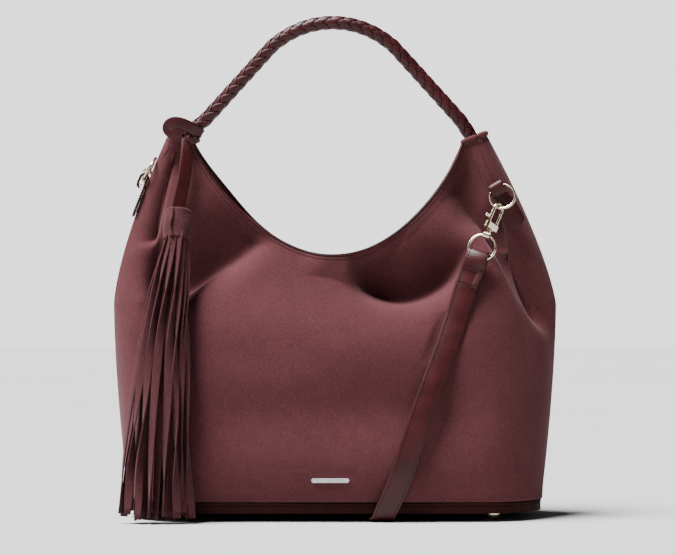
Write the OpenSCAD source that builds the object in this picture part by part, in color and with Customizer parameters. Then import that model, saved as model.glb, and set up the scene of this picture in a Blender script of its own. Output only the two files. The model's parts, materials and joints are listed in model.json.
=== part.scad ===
// Hobo bag: two suede panels gathered into sleeves round a braided handle, on a piped leather base.
// Millimetres, +Z up, -Y is the front. The origin is on the floor, under the middle of the base.

/* [Base] */
// Width of the leather base
base_w = 368; // [340:1:380]
// Depth of the leather base
base_d = 134; // [126:1:140]
// Corner radius of the base
base_r = 56; // [50:1:60]
// Height of the metal feet
foot_h = 7.5; // [6:0.5:9]
// Diameter of a foot
foot_d = 13; // [10:1:16]
// Height of the leather base band
band_h = 6.5; // [5:0.5:8]
// Radius of the piping round the base
piping_r = 1.7; // [1.2:0.1:2]

/* [Body] */
// Half width of the body at its widest line
belly_x = 199; // [194:1:204]
// Height of the widest line
belly_z = 190; // [180:5:200]
// How far the front swells past the base
swell = 19; // [14:1:22]
// Height of the side seams at the sleeve mouths
mouth_z = 343.8; // [340:0.2:348]
// Half width at the side seams of the sleeve mouths
mouth_x = 142.6; // [140:0.2:145]
// How far the top leans to the left
lean = 7; // [0:1:8]
// Lowest height of the opening's edge
dip_z = 233; // [225:1:240]
// Half the gap between the two edges at their lowest point
dip_y = 35; // [30:1:40]
// Thickness of a suede panel
panel_t = 2.5; // [2:0.1:3]
// Thickness of the lining
lining_t = 0.8; // [0.6:0.1:1]

/* [Handle] */
// Outer radius of the braid
braid_r = 6.3; // [5.5:0.1:6.5]
// Radius of the rope core
core_r = 4.6; // [3.5:0.1:4.6]
// Radius of the arch over the top
arch_r = 80; // [76:1:84]
// Height of the arch's centre
arch_z = 363.3; // [360:0.1:366]
// Half angle of the arch
arch_half = 47; // [45:1:49]
// Height of the line about which the handle flops
flop_z = 365; // [363:1:367]

/* [Hardware] */
// Radius of the wire of the rings
wire_r = 1.2; // [1:0.1:1.3]
// Mean radius of the rings on the tabs
ring_r = 11.3; // [11:0.1:12]
// Mean radius of the rings on the strap
strap_ring_r = 12.2; // [12:0.1:13]
// Width of the leather tabs
tab_w = 12; // [11:0.5:12]
// Travel of the hook's trigger
trigger_travel = 3; // [2:0.5:3]

/* [Strap] */
// Width of the shoulder strap
strap_w = 19.8; // [19:0.1:20]
// Thickness of the shoulder strap
strap_t = 2; // [1.6:0.1:2.2]

/* [Tassel] */
// Radius of the tassel's cap
cap_r = 12; // [10:0.5:12]
// Length of the cap
cap_l = 27.5; // [24:0.5:30]

/* [Hidden] */
$fn = 48;
suede = "#633840";
leather = "#4b1419";
gold = "#d8c49a";
cloth = "#b59f86";
board = "dimgray";

base_z = foot_h;
band_top = base_z + band_h;
piping_z = band_top + piping_r;
seam_z = piping_z + piping_r + 0.1;
wall = 2;
gap = 0.3;
leather_t = 1.8;
foot_places = [[0, 0], [140, 40], [-140, 40], [140, -40], [-140, -40]];
stem_r = 2;

// Outline of half the base, as a point that is s along it from the middle of the front.
straight = base_w / 2 - base_r;
arc_len = base_r * PI / 2;
half_len = straight + arc_len + base_d / 2 - base_r;
function corner(s) = (s - straight) / base_r * 180 / PI;
function rim(s) =
    s < straight ? [s, -base_d / 2]
    : s < straight + arc_len
        ? [straight + base_r * sin(corner(s)), base_r * (1 - cos(corner(s))) - base_d / 2]
    : [base_w / 2, base_r - base_d / 2 + s - straight - arc_len];

// The front panel's top edge for u from -1 (left seam) to 1 (right seam): the opening's edge, then
// half of the oval mouth of a sleeve.
hem_share = 0.82;
hem_x = 120.6;
hem_y = 6.5;
hem_z = 336;
hem_power = 2.1;
mouth_a = 11.8;
mouth_b = 13;
mouth_turn = 150;
function hem(t) = [
    hem_x * t,
    -hem_y - (dip_y - hem_y) * (1 - t * t),
    dip_z + (hem_z - dip_z) * pow(abs(t), hem_power)
];
function mouth(w) =
    let (x = mouth_x - mouth_a + mouth_a * cos(mouth_turn * (1 - w)))
    let (up = (x - hem_x) / (mouth_x - hem_x))
    [x, -mouth_b * sin(mouth_turn * (1 - w)), hem_z + up * (mouth_z - hem_z)];
function top_edge(u) =
    abs(u) < hem_share ? hem(u / hem_share)
    : let (m = mouth((abs(u) - hem_share) / (1 - hem_share))) [sign(u) * m[0], m[1], m[2]];

// Half width of the body at a height, and how far the top leans there.
tuck = 13;
tuck_power = 1.6;
shoulder_power = 1.37;
function half_width(z) =
    belly_x - tuck * pow(max(0, belly_z - z) / (belly_z - seam_z), tuck_power)
    - (belly_x - mouth_x) * pow(max(0, z - belly_z) / (mouth_z - belly_z), shoulder_power);
swell_power = 0.75;
function lean_at(z) = -lean * max(0, z - belly_z) / (mouth_z - belly_z);

// A point of the front panel's outer face, at u across and v up.
function face(u, v) =
    let (b = rim(abs(u) * half_len), t = top_edge(u), z = seam_z + v * (t[2] - seam_z))
    let (up = (z - seam_z) / (mouth_z - seam_z))
    let (bulge = half_width(z) - base_w / 2 - (mouth_x - base_w / 2) * up)
    [
        sign(u) * b[0] * (1 - v) + t[0] * v + sign(u) * bulge * pow(abs(u), 3) + lean_at(z),
        b[1] * (1 - v) + t[1] * v - swell * sin(180 * pow(v, swell_power)) * (1 - pow(u, 4)),
        z
    ];

// The same point moved inwards, level with the floor.
function inward(u, v) =
    let (a = face(max(-1, u - 0.01), v), b = face(min(1, u + 0.01), v))
    let (d = [a[1] - b[1], b[0] - a[0]])
    abs(u) == 1 ? [-u, 0, 0] : [d[0], d[1], 0] / norm(d);
function layer(u, v, depth) = face(u, v) + depth * inward(u, v);

// A curved sheet between two depths, over columns us and rows vs, which are heights if it is level.
function row(u, v, level) = level ? (v - seam_z) / (top_edge(u)[2] - seam_z) : v;
function flipped(faces, n) = [for (f = faces) [for (i = [len(f) - 1:-1:0]) f[i] + n]];
module sheet(us, vs, depth, t, level = false) {
    nu = len(us);
    nv = len(vs);
    n = nu * nv;
    outer = [for (u = us, v = vs) layer(u, row(u, v, level), depth)];
    inner = [for (u = us, v = vs) layer(u, row(u, v, level), depth + t)];
    skin = [for (i = [0:nu - 2], j = [0:nv - 2]) let (a = i * nv + j) [a, a + 1, a + nv + 1, a + nv]];
    low = [for (i = [0:nu - 2]) let (a = i * nv) [a + nv, a + nv + n, a + n, a]];
    high = [for (i = [0:nu - 2]) let (a = i * nv + nv - 1) [a, a + n, a + nv + n, a + nv]];
    left = [for (j = [0:nv - 2]) [j, j + n, j + 1 + n, j + 1]];
    right = [for (j = [0:nv - 2]) let (a = (nu - 1) * nv + j) [a + 1, a + 1 + n, a + n, a]];
    faces = concat(skin, flipped(skin, n), low, high, left, right);
    polyhedron(concat(outer, inner), faces, convexity = 6);
}

// Columns across a panel: even over the hem and closer over the mouths.
hem_columns = [for (i = [-8:8]) i / 8 * hem_share];
mouth_columns = [for (i = [1:4]) hem_share + i / 4 * (1 - hem_share)];
columns = concat([for (i = [3:-1:0]) -mouth_columns[i]], hem_columns, mouth_columns);
first_row = 0.01;
rows = concat([0, first_row], [for (j = [1:10]) j / 10]);

// Turns v about the axis k by a degrees.
function turn(v, k, a) = v * cos(a) + cross(k, v) * sin(a) + k * (k * v) * (1 - cos(a));
function unit(v) = v / norm(v);
function across(v, t) = unit(v - t * (t * v));

// A tube or ribbon swept along points. wide and thick are half sizes, side is the width's direction.
function heading(p, i) = unit(p[min(i + 1, len(p) - 1)] - p[max(i - 1, 0)]);
module sweep(p, side, wide, thick, n) {
    rings = [for (i = [0:len(p) - 1])
        let (t = heading(p, i), w = across(side[i], t), h = cross(t, w))
        for (k = [0:n - 1]) p[i] + w * wide[i] * cos(360 * k / n) + h * thick[i] * sin(360 * k / n)];
    last = len(p) - 1;
    walls = [for (i = [0:last - 1], k = [0:n - 1])
        let (a = i * n + k, b = i * n + (k + 1) % n) each [[a + n, b + n, b], [a + n, b, a]]];
    start = [for (k = [0:n - 1]) k];
    end = [for (k = [n - 1:-1:0]) last * n + k];
    polyhedron(rings, concat([start], walls, [end]), convexity = 8);
}
module tube(p, side, r, n = 12) {
    same = [for (q = p) r];
    sweep(p, [for (q = p) side], same, same, n);
}

// Places children with z against a direction and x as near as can be along a side.
module frame_at(origin, down, side) {
    z = -down;
    x = across(side, z);
    y = cross(z, x);
    multmatrix([
        [x[0], y[0], z[0], origin[0]],
        [x[1], y[1], z[1], origin[1]],
        [x[2], y[2], z[2], origin[2]],
        [0, 0, 0, 1]
    ]) children();
}

// The handle's middle line: an arch with straight sides down to the flop line.
arch_x = -2;
arch_end = arch_z + arch_r * cos(arch_half);
foot_x = arch_r * sin(arch_half) + (arch_end - flop_z) / tan(arch_half);
left_foot = [arch_x - foot_x, 0, flop_z];
right_foot = [arch_x + foot_x, 0, flop_z];
arch = [for (a = [-arch_half:arch_half / 8:arch_half])
    [arch_x + arch_r * sin(a), 0, arch_z + arch_r * cos(a)]];
handle_line = concat([left_foot], arch, [right_foot]);
left_end_line = [[-113.5, 0, 359.5], [-121, 0, 353], [-129, 0, 345], [-136, 0, 336], [-141.5, 0, 325]];
right_end_line = [[109, 0, 359.8], [115, 0, 352], [121, 0, 343], [126, 0, 333], [131, 0, 320]];

// Right ring: the tab's fold runs along fold_axis, and the ring, hook and strap hang down the front.
fold_tilt = 31;
fold_axis = [cos(fold_tilt), 0, sin(fold_tilt)];
right_fold = [143.5, -24, 295];
right_pitch = -24;
right_grip = 15;
right_drop = 1.4;
hook_tilt = 21.5;
function hang(v) = turn(v, fold_axis, right_pitch);
right_ring_c = right_fold + hang(ring_r * [sin(fold_tilt), 0, -cos(fold_tilt)]);
right_contact = right_ring_c + hang(ring_r * [-sin(right_grip), 0, -cos(right_grip)]);
right_down = hang([-sin(hook_tilt), 0, -cos(hook_tilt)]);
right_side = hang([cos(hook_tilt), 0, -sin(hook_tilt)]);
right_hook_o = right_contact + right_drop * right_down;
hook_yaw = 54;

// Left ring: it stands up against the sleeve, and its hook hangs behind the bag.
left_fold = [-172.6, 4, 302];
left_tab_down = [-0.366, 0, -0.931];
left_up = [0.5, 0, 0.866];
left_ring_c = left_fold + ring_r * left_up;
left_grip = 65;
left_drop = 0.6;
left_contact = left_ring_c + ring_r * (sin(left_grip) * [0, 1, 0] - cos(left_grip) * left_up);
left_down = unit([0.05, 0.342, -0.938]);
left_side = across([1, 0, 0], left_down);
left_hook_o = left_contact + left_drop * left_down;
left_yaw = -34;

// Heights on a hook, measured up from the middle of its eye.
eye_r = 3.3;
rod_r = 1.4;
arm = eye_r + rod_r;
tip_z = -2.5;
block_z = -14.5;
block_h = 5.5;
block_r = 2.8;
collar_z = block_z - block_h - gap;
collar_r = 3.8;
barrel_z = -26;
barrel_r = 3.3;
barrel_l = 6;
plunger_r = 1.7;
bore_end = block_z - 5;
plunger_end = bore_end + trigger_travel + 0.5;
knob_z = -10;
post_r = 1.3;

// The strap's folds inside the strap rings, and its route between them.
right_strap_c = right_hook_o + (strap_ring_r - barrel_z) * right_down;
left_strap_c = left_hook_o + (strap_ring_r - barrel_z) * left_down;
fold_drop = 6.1;
fold_r = 3;
fold_tail = 8;
lap = 32;
lap_end_out = 1.2;
lap_middle_out = 1.8;
function fold(c, down, out) = concat(
    [c + lap * down - lap_end_out * out, c + lap / 2 * down - lap_middle_out * out],
    [for (a = [0:30:180]) c - fold_r * (cos(a) * out + sin(a) * down)],
    [c + fold_r * out + fold_tail * down]
);
function reversed(p) = [for (i = [len(p) - 1:-1:0]) p[i]];
right_lap = fold(right_strap_c + fold_drop * right_down, right_down, unit(cross(right_down, right_side)));
left_lap = fold(left_strap_c + fold_drop * left_down, left_down, unit(cross(left_side, left_down)));
// Points on the strap's middle line, each with the way that its width lies.
strap_route = [
    [[121, -47, 221], [1, 0, 0]], [[115, -51, 206], [1, 0, 0]], [[106, -58, 177], [1, 0, 0]],
    [[97, -65, 151], [1, 0, 0]], [[85, -72, 120], [1, 0, 0]], [[74, -77, 90], [1, 0, 0]],
    [[66, -79, 66], [1, 0, 0]], [[59, -79, 44], [1, 0, 0]], [[51, -76, 24], [1, 0, 0]],
    [[45, -73, 11], [1, 0, 0]], [[42, -68, 4], [1, 0, 0]], [[38, -58, 2.6], [1, 0, 0]],
    [[32, -34, 2.5], [1, 0, 0]], [[27, -4, 2.5], [1, 0, 0]],
    [[19, 26, 2.5], [1, 0, 0]], [[7, 52, 2.5], [1, 0, 0]],
    [[-6, 78, 4], [1, 0, 0.2]], [[-18, 106, 8], [1, 0, 0.8]], [[-32, 138, 11], [0.4, 0, 1]],
    [[-54, 168, 12], [0, 0, 1]], [[-82, 188, 12], [0, 0, 1]], [[-112, 192, 12], [0, 0, 1]],
    [[-138, 176, 12], [0, 0, 1]], [[-154, 150, 12], [0.2, 0, 1]], [[-160, 122, 12], [0.7, 0, 0.8]],
    [[-161, 96, 17], [1, 0, 0.3]], [[-160, 78, 32], [1, 0, 0]], [[-160, 68, 60], [1, 0, 0]],
    [[-161, 62, 92], [1, 0, 0]], [[-162, 58, 130], [1, 0, 0]], [[-163, 52, 168], [1, 0, 0]],
    [[-164, 45, 204], [1, 0, 0]], [[-165, 40, 230], [1, 0, 0]]
];

// The tassel's knot, and the line that its fringe hangs along.
knot = [-134, -17, 345];
loop_c = [-128.5, 0, 348];
cap_top = [-139.5, -35, 275];
cap_down = unit([0, -0.3, -0.95]);
fringe = [
    [[-139.5, -43.8, 247], 13, 8], [[-144, -57, 205], 16, 9], [[-148, -70, 155], 20, 9],
    [[-151, -78, 105], 24, 9], [[-153, -81, 55], 28, 9], [[-154, -82, 9], 31, 9]
];

// The pocket's zip.
zip_z = 168;
zip_x = -60;
zip_u = 0.31;
pocket_t = 1;
tape_t = 1.4;
lining_gap = 1.3;
lining_d = panel_t + lining_gap;
pocket_gap = 1.6;
pocket_d = lining_d + lining_t + pocket_gap;
slider_gap = 0.6;
zip_y = -layer(zip_u, row(zip_u, zip_z, true), pocket_d + tape_t + slider_gap)[1];

// Body

module half_body(us, vs, depth, t, c, level = false) color(c) sheet(us, vs, depth, t, level);
module to_back() mirror([0, 1, 0]) children();
module front_panel() half_body(columns, rows, 0, panel_t, suede);
module back_panel() to_back() half_body(columns, rows, 0, panel_t, suede);
lining_top = 0.98;
lining_rows = concat([for (j = [1:10]) rows[j]], [lining_top]);
lining_columns = [for (i = [1:len(columns) - 2]) columns[i]];
module front_lining() half_body(lining_columns, lining_rows, lining_d, lining_t, cloth);
module back_lining() to_back() half_body(lining_columns, lining_rows, lining_d, lining_t, cloth);

module rounded(inset) {
    w = base_w - 2 * inset;
    d = base_d - 2 * inset;
    r = base_r - inset;
    square([w - 2 * r, d], center = true);
    square([w, d - 2 * r], center = true);
    for (x = [-1, 1], y = [-1, 1])
        translate([x * (w / 2 - r), y * (d / 2 - r)]) circle(r, $fn = 96);
}
module foot_holes() for (p = foot_places)
    translate([p[0], p[1], base_z - 1]) cylinder(h = 12, r = stem_r + 0.1);
floor_t = 2;
board_z = base_z + floor_t + 0.2;
board_t = 2.2;
board_inset = 0.5;
base_lining_inset = 6;
module base_panel() color(leather) difference() {
    translate([0, 0, base_z]) linear_extrude(band_h) rounded(0);
    translate([0, 0, base_z + floor_t]) linear_extrude(band_h) rounded(wall);
    foot_holes();
}
module base_board() color(board) difference() {
    translate([0, 0, board_z]) linear_extrude(board_t) rounded(wall + board_inset);
    foot_holes();
}
module base_lining() color(cloth)
    translate([0, 0, board_z + board_t + 1]) linear_extrude(lining_t) rounded(base_lining_inset);

// The piping lies on the band's top edge: four straight runs and four quarter turns.
module base_piping() color(leather) translate([0, 0, piping_z]) {
    inset = 1.2;
    x = base_w / 2 - base_r;
    y = base_d / 2 - base_r;
    for (s = [-1, 1]) {
        translate([-x, s * (base_d / 2 - inset), 0]) rotate([0, 90, 0])
            cylinder(h = 2 * x, r = piping_r, $fn = 16);
        translate([s * (base_w / 2 - inset), y, 0]) rotate([90, 0, 0])
            cylinder(h = 2 * y, r = piping_r, $fn = 16);
    }
    for (q = [[x, y, 0], [-x, y, 90], [-x, -y, 180], [x, -y, 270]])
        translate([q[0], q[1], 0]) rotate(q[2]) rotate_extrude(angle = 90, $fn = 96)
            translate([base_r - inset, 0]) circle(piping_r, $fn = 16);
}

// A domed foot on a rivet that goes up through the base and its board.
module foot() {
    flat = 4;
    top = board_z + board_t;
    rotate_extrude() polygon(concat(
        [[0, 0], [flat, 0]],
        [for (a = [15:15:90]) [flat + (foot_d / 2 - flat) * sin(a), (foot_h - 1) * (1 - cos(a))]],
        [[foot_d / 2, foot_h], [stem_r, foot_h], [stem_r, top], [0, top]]
    ));
}
module feet() color(gold) for (p = foot_places) translate([p[0], p[1], 0]) foot();

// A thin cord of leather bound over the opening's edge.
binding_r = 1.2;
binding_share = 0.8;
binding_gap = 1.2;
module binding() {
    line = [
        for (i = [-12:12]) let (share = i / 12)
        layer(share * binding_share, 1, panel_t / 2) + [0, 0, binding_r + binding_gap + pow(share, 4)]
    ];
    tube(line, [0, 1, 0], binding_r, 8);
}
module front_binding() color(leather) binding();
module back_binding() color(leather) to_back() binding();

// Inside: a pocket on the back lining, its zip, and the magnetic snap.
pocket_u = 0.38;
pocket_low = 70;
pocket_step = 22;
tape_half = 6;
pocket_columns = [for (i = [-4:4]) i / 4 * pocket_u];
pocket_rows = [for (j = [0:4]) pocket_low + j * pocket_step];
tape_rows = [zip_z - tape_half, zip_z + tape_half];
module inner_pocket() to_back() half_body(pocket_columns, pocket_rows, pocket_d, pocket_t, cloth, true);
module zip_tape() to_back() half_body(pocket_columns, tape_rows, pocket_d, tape_t, board, true);
module zip_slider() color(gold) translate([zip_x, zip_y - 1.8, zip_z]) {
    cube([9, 2.4, 7], center = true);
    for (x = [-1, 1]) translate([x * 2.4, -1.2, 0]) rotate([90, 0, 0]) cylinder(h = 2.6, r = 0.8);
    translate([-3.2, -4, 0]) rotate([0, 90, 0]) cylinder(h = 6.4, r = 0.8);
}
pull_y = zip_y - 5.8;
module zip_pull() color(gold) translate([zip_x, pull_y, zip_z]) difference() {
    union() {
        translate([-1.2, 0, 0]) rotate([0, 90, 0]) cylinder(h = 2.4, r = 2);
        translate([-1.2, -0.8, -22]) cube([2.4, 1.6, 22]);
    }
    translate([-3, 0, 0]) rotate([0, 90, 0]) cylinder(h = 6, r = 1.1);
}
snap_z = 220;
snap_r = 9;
snap_lean = 20;
snap_v = 0.94;
snap_gap = 1.6;
snap_y = layer(0, snap_v, lining_d + lining_t)[1] + snap_gap;
module snap_socket() color(gold) translate([arch_x, snap_y, snap_z]) rotate([-90 - snap_lean, 0, 0])
    difference() {
        cylinder(h = 3, r = snap_r);
        translate([0, 0, 1]) cylinder(h = 3, r = 3.2);
    }
module snap_stud() color(gold) translate([arch_x, -snap_y, snap_z]) rotate([90 + snap_lean, 0, 0]) {
    cylinder(h = 2, r = snap_r);
    cylinder(h = 4, r = 3);
}
badge_w = 33;
badge_h = 4;
badge_x = -4;
badge_z = 37;
badge_gap = 0.4;
badge_at = [badge_x, face(0, row(0, badge_z, true))[1] - badge_gap, badge_z];
module badge() color("silver") translate(badge_at) rotate([90, 0, 0]) linear_extrude(1.2) {
    square([badge_w - badge_h, badge_h], center = true);
    for (x = [-1, 1]) translate([x * (badge_w - badge_h) / 2, 0]) circle(badge_h / 2);
}

// Handle

// A hollow sleeve round the core.
module handle_braid() color(leather) {
    sides = 12;
    n = len(handle_line) * sides;
    points = [for (r = [braid_r, core_r + 0.2], i = [0:len(handle_line) - 1])
        let (h = cross(heading(handle_line, i), [0, 1, 0]))
        for (k = [0:sides - 1])
            handle_line[i] + r * (cos(360 * k / sides) * [0, 1, 0] + sin(360 * k / sides) * h)];
    last = n - sides;
    skin = [for (i = [0:len(handle_line) - 2], k = [0:sides - 1])
        let (a = i * sides + k, b = i * sides + (k + 1) % sides) [a, b, b + sides, a + sides]];
    start = [for (k = [0:sides - 1]) let (b = (k + 1) % sides) [b, k, k + n, b + n]];
    end = [for (f = start) [for (i = [1, 0, 3, 2]) f[i] + last]];
    polyhedron(points, concat(skin, flipped(skin, n), start, end), convexity = 8);
}
module handle_core() color("ivory") tube(handle_line, [0, 1, 0], core_r);
module left_handle_end() color(leather) tube(left_end_line, [0, 1, 0], braid_r);
module right_handle_end() color(leather) tube(right_end_line, [0, 1, 0], braid_r);

// Tabs and rings

// A leather tab folded over a ring's wire. x goes down the tab, y away from the bag, and z is its
// width; the wire is at the origin, and headroom is how far the fold stands above it.
tab_gap = 2.5;
tab_y = tab_gap + leather_t / 2;
tongue_l = 34;
flap_l = 9;
module tab_profile(headroom) {
    difference() {
        translate([-headroom, 0]) circle(tab_gap + leather_t);
        translate([-headroom, 0]) circle(tab_gap);
        translate([-headroom, -10]) square(20);
    }
    translate([-headroom, -tab_gap - leather_t]) square([tongue_l + headroom, leather_t]);
    translate([-headroom, tab_gap]) square([flap_l + headroom, leather_t]);
    translate([flap_l - leather_t, gap - tab_gap]) square([leather_t, 2 * tab_gap]);
}
module tab(headroom) color(leather) linear_extrude(tab_w, center = true) tab_profile(headroom);
module tab_at(origin, down, out) {
    w = cross(down, out);
    multmatrix([
        [down[0], out[0], w[0], origin[0]],
        [down[1], out[1], w[1], origin[1]],
        [down[2], out[2], w[2], origin[2]],
        [0, 0, 0, 1]
    ]) children();
}
module right_tab() tab_at(right_fold, [fold_axis[2], 0, -fold_axis[0]], [0, -1, 0]) tab(0);
module left_tab() tab_at(left_fold, left_tab_down, [left_tab_down[2], 0, -left_tab_down[0]]) tab(2.2);

module ring_at(centre, u, v, r) color(gold) {
    n = cross(u, v);
    multmatrix([
        [u[0], v[0], n[0], centre[0]],
        [u[1], v[1], n[1], centre[1]],
        [u[2], v[2], n[2], centre[2]],
        [0, 0, 0, 1]
    ]) rotate_extrude($fn = 96) translate([r, 0]) circle(wire_r, $fn = 24);
}
module right_ring() ring_at(right_ring_c, right_side, right_down, ring_r);
module left_ring() ring_at(left_ring_c, left_up, [0, 1, 0], ring_r);
module right_strap_ring() ring_at(right_strap_c, right_side, right_down, strap_ring_r);
module left_strap_ring() ring_at(left_strap_c, left_side, left_down, strap_ring_r);

// Hooks: a swivel snap hook, drawn with its eye at the origin and its strap end down -z

module hook_body() color(gold) difference() {
    union() {
        rotate([90, 0, 0]) rotate_extrude(angle = 180) translate([arm, 0]) circle(rod_r, $fn = 24);
        translate([arm, 0, block_z - 1]) cylinder(h = 1 - block_z, r = rod_r);
        translate([-arm, 0, tip_z]) cylinder(h = -tip_z, r = rod_r);
        translate([0, 0, block_z - block_h]) linear_extrude(block_h) {
            square([2 * arm, 2 * block_r], center = true);
            for (x = [-1, 1]) translate([x * arm, 0]) circle(block_r);
        }
    }
    translate([-arm, 0, bore_end]) cylinder(h = 10, r = plunger_r + 0.08);
    translate([0, 0, block_z - block_h - 1]) cylinder(h = 4.2, r = post_r + 0.08);
}
module plunger() color(gold) {
    translate([-arm, 0, plunger_end]) cylinder(h = tip_z - 0.4 - plunger_end, r = plunger_r);
    translate([-arm, 0, knob_z]) rotate([0, -90, 0]) cylinder(h = 4.4, r = 1.1);
    translate([-arm - 4.4, 0, knob_z]) sphere(1.7);
}
module spring() color("silver") translate([-arm, 0, bore_end + 0.1]) difference() {
    cylinder(h = plunger_end - bore_end - 0.3, r = 1.5);
    translate([0, 0, -1]) cylinder(h = 8, r = 1);
}
module swivel() color(gold) difference() {
    union() {
        translate([0, 0, block_z - block_h]) cylinder(h = 3, r = post_r);
        translate([0, 0, collar_z - 1]) cylinder(h = 1, r = collar_r);
        translate([0, 0, barrel_z]) cylinder(h = block_z - block_h - barrel_z + 0.2, r = post_r);
        translate([0, 0, barrel_z + 2]) cylinder(h = collar_z - barrel_z - 2.5, r = 2.1);
        translate([-barrel_l / 2, 0, barrel_z]) rotate([0, 90, 0]) cylinder(h = barrel_l, r = barrel_r);
    }
    translate([-barrel_l, 0, barrel_z - 0.2]) rotate([0, 90, 0])
        cylinder(h = 2 * barrel_l, r = wire_r + 0.55);
}
module right_hook_frame() frame_at(right_hook_o, right_down, right_side) children();
module left_hook_frame() frame_at(left_hook_o, left_down, left_side) children();
module right_hook() right_hook_frame() rotate(hook_yaw) hook_body();
module right_trigger() right_hook_frame() rotate(hook_yaw) plunger();
module right_spring() right_hook_frame() rotate(hook_yaw) spring();
module right_swivel() right_hook_frame() swivel();
module left_hook() left_hook_frame() rotate(left_yaw) hook_body();
module left_trigger() left_hook_frame() rotate(left_yaw) plunger();
module left_spring() left_hook_frame() rotate(left_yaw) spring();
module left_swivel() left_hook_frame() swivel();

// Strap

strap_line = concat(right_lap, [for (q = strap_route) q[0]], reversed(left_lap));
strap_side = concat(
    [for (q = right_lap) right_side], [for (q = strap_route) q[1]], [for (q = left_lap) left_side]
);
module strap() color(leather) {
    wide = [for (q = strap_line) strap_w / 2];
    thick = [for (q = strap_line) strap_t / 2];
    sweep(strap_line, strap_side, wide, thick, 8);
}

// Tassel

loop_in = 12;
loop_out = 14.5;
loop_h = 9.5;
loop_tilt = 20;
module tassel_loop() color(leather) translate(loop_c) rotate([0, loop_tilt, 0]) rotate_extrude()
    translate([loop_in, -loop_h / 2]) square([loop_out - loop_in, loop_h]);
strip_line = [knot, (knot + cap_top) / 2 + [1, 1, 0], cap_top];
module tassel_strip() color(leather)
    sweep(strip_line, [for (q = strip_line) [1, 0, 0]], [3, 5, 5], [1.2, 1.2, 1.2], 8);
module tassel_cap() color(suede)
    frame_at(cap_top + gap * cap_down, cap_down, [1, 0, 0])
    translate([0, 0, -cap_l]) cylinder(h = cap_l, r = cap_r);
module tassel_fringe() color(suede) {
    line = [for (q = fringe) q[0]];
    side = [for (q = fringe) [1, 0, 0]];
    sweep(line, side, [for (q = fringe) q[1]], [for (q = fringe) q[2]], 16);
}

front_panel();
back_panel();
front_lining();
back_lining();
base_lining();
base_panel();
base_board();
base_piping();
feet();
front_binding();
back_binding();
inner_pocket();
zip_tape();
zip_slider();
zip_pull();
snap_socket();
snap_stud();
badge();
handle_braid();
handle_core();
left_handle_end();
right_handle_end();
right_tab();
right_ring();
right_swivel();
right_strap_ring();
right_hook();
right_trigger();
right_spring();
left_tab();
left_ring();
left_swivel();
left_strap_ring();
left_hook();
left_trigger();
left_spring();
strap();
tassel_loop();
tassel_strip();
tassel_cap();
tassel_fringe();
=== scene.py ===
"""Looks of the hobo bag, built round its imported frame. Metres, +Z up, and -Y is the front."""

import json
import math

import bpy
import numpy as np
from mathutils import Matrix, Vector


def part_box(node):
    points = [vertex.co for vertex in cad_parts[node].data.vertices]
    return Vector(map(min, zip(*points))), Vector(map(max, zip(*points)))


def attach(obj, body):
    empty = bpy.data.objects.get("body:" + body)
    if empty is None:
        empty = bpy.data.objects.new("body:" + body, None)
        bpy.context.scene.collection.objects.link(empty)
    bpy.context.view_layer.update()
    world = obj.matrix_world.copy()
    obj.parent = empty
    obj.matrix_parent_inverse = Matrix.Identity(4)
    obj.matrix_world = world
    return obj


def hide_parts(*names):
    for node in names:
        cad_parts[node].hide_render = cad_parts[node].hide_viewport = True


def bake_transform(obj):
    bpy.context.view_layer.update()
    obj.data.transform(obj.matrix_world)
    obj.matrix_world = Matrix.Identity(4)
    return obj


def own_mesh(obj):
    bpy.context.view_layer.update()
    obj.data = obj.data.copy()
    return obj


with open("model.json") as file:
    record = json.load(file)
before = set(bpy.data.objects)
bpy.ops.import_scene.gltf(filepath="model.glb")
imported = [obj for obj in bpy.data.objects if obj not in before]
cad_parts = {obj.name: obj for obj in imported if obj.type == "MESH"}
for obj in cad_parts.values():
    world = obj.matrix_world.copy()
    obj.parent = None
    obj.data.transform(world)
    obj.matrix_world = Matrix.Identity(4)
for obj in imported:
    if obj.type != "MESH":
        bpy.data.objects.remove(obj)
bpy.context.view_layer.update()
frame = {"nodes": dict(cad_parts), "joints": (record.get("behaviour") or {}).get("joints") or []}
MM = 0.001
JOINTS = {joint["name"]: joint for joint in frame["joints"]}
rng = np.random.default_rng(7)


# Camera

VIEW_DISTANCE = 2.5
VIEW_WIDTH = 0.608
VIEW_X = 0.0027
VIEW_Z = 0.2142


def add_object(name, data):
    """A new object in the scene."""
    made = bpy.data.objects.new(name, data)
    bpy.context.scene.collection.objects.link(made)
    return made


camera = add_object("camera", bpy.data.cameras.new("camera"))
bpy.context.scene.camera = camera
camera.location = (VIEW_X, -VIEW_DISTANCE, VIEW_Z)
camera.rotation_euler = (math.pi / 2, 0, 0)
camera.data.lens = camera.data.sensor_width * VIEW_DISTANCE / VIEW_WIDTH


# Geometry helpers

SMOOTH_STEPS = 16
# The points of one stitch: how far along its pitch each lies, and how many thread radii out
STITCH_ALONG = np.array([-0.34, -0.2584, 0, 0.2584, 0.34])
STITCH_RISE = np.array([-0.5, 0.3, 0.6, 0.3, -0.5])
THREAD_SIDES = 5
FACING = np.array([0.0, 1, 0])


def unit(vectors):
    """The vectors at length 1, along the last axis."""
    vectors = np.asarray(vectors, float)
    return vectors / np.linalg.norm(vectors, axis=-1, keepdims=True)


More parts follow.
